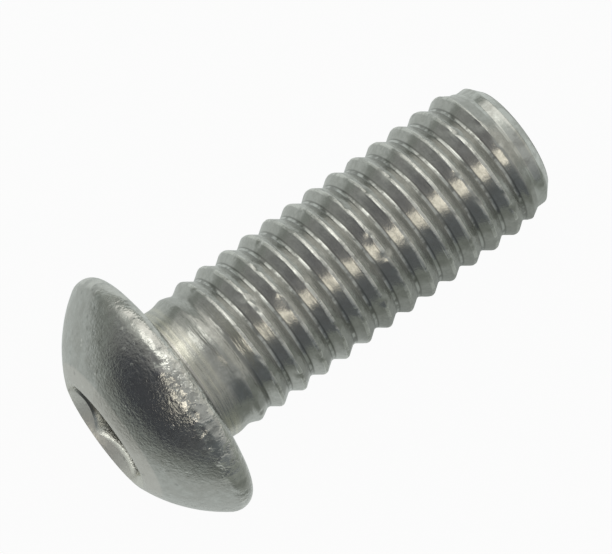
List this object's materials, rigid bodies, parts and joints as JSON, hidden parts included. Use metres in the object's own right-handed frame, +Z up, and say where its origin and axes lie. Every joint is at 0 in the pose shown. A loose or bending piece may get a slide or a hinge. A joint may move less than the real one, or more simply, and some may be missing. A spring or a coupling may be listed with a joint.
{
  "type": "machine screw",
  "caption": "Button head machine screw with a hexagon socket, a short plain neck and a shallow right-hand rolled thread of 1 mm pitch that runs to a bevelled tip.",
  "frame": {"origin": "on the surface that the screw lies on, under the middle of its bounding box", "axes": "+X from the head towards the tip, +Z up from the surface; the screw's own axis lies in the XZ plane and dips towards the tip, because the head is wider than the thread"},
  "size_m": [0.0194, 0.0102, 0.0101],
  "materials": {
    "worn_steel": "dull stainless steel, bright along the crests and on the scuffed edge of the head"
  },
  "bodies": {
    "root": {"machine_screw": "worn_steel"}
  },
  "joints": []
}
